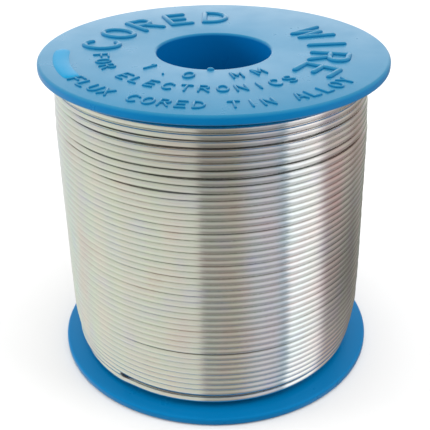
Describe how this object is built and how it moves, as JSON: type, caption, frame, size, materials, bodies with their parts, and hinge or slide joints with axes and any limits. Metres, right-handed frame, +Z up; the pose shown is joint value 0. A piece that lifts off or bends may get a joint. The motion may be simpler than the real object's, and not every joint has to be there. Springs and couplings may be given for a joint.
{
  "type": "solder wire spool",
  "caption": "Moulded flanged reel full of flux-cored solder wire, with an open spindle bore and a free wire end that lifts off the coil.",
  "frame": {"origin": "centre of the lower flange's outer face, on the reel's axis, at the height of a table the reel stands on", "axes": "+Z up along the reel's axis from the lower flange to the upper flange; -Y is the side seen from the front, where the wire's cut end lies to the left"},
  "size_m": [0.055, 0.055, 0.053],
  "materials": {
    "blue_plastic": "semi-gloss moulded",
    "barrel_plastic": "semi-gloss moulded",
    "solder_alloy": "bright drawn solder alloy",
    "rosin_flux": "glassy rosin"
  },
  "bodies": {
    "spool": {"lower_flange": "blue_plastic", "upper_flange": "blue_plastic", "barrel": "barrel_plastic", "wire_layer_01": "solder_alloy", "wire_layer_02": "solder_alloy", "wire_layer_03": "solder_alloy", "wire_layer_04": "solder_alloy", "wire_layer_05": "solder_alloy", "wire_layer_06": "solder_alloy", "wire_layer_07": "solder_alloy", "wire_layer_08": "solder_alloy", "wire_layer_09": "solder_alloy", "wire_layer_10": "solder_alloy", "wire_layer_11": "solder_alloy", "wire_layer_12": "solder_alloy", "wire_layer_13": "solder_alloy", "wire_layer_14": "solder_alloy", "wire_layer_15": "solder_alloy", "wire_layer_16": "solder_alloy", "flange_turn": "solder_alloy", "run_in_wire": "solder_alloy"},
    "free_end_1": {"free_end_link_1": "solder_alloy"},
    "free_end_2": {"free_end_link_2": "solder_alloy"},
    "free_end_3": {"free_end_link_3": "solder_alloy"},
    "free_end_4": {"free_end_link_4": "solder_alloy"},
    "free_end_5": {"free_end_tip": "solder_alloy", "flux_core": "rosin_flux"}
  },
  "joints": [
    {"name": "free_end_lift", "type": "hinge", "parent": "spool", "child": "free_end_1", "pos_m": [-0.02398, 0.00423, 0.00378], "axis": [0, 0, -1], "range_deg": [0, 12]},
    {"name": "free_end_bend_2", "type": "hinge", "parent": "free_end_1", "child": "free_end_2", "pos_m": [-0.02434, -0.00085, 0.00378], "axis": [0, 0, -1], "range_deg": [0, 12]},
    {"name": "free_end_bend_3", "type": "hinge", "parent": "free_end_2", "child": "free_end_3", "pos_m": [-0.02363, -0.00589, 0.00378], "axis": [0, 0, -1], "range_deg": [0, 12]},
    {"name": "free_end_bend_4", "type": "hinge", "parent": "free_end_3", "child": "free_end_4", "pos_m": [-0.02189, -0.01067, 0.00378], "axis": [0, 0, -1], "range_deg": [0, 12]},
    {"name": "free_end_bend_5", "type": "hinge", "parent": "free_end_4", "child": "free_end_5", "pos_m": [-0.01919, -0.01499, 0.00378], "axis": [0, 0, -1], "range_deg": [0, 12]}
  ],
  "couplings": [
    {"joint": "free_end_bend_2", "follows": "free_end_lift", "ratio": 1},
    {"joint": "free_end_bend_3", "follows": "free_end_lift", "ratio": 1},
    {"joint": "free_end_bend_4", "follows": "free_end_lift", "ratio": 1},
    {"joint": "free_end_bend_5", "follows": "free_end_lift", "ratio": 1}
  ]
}
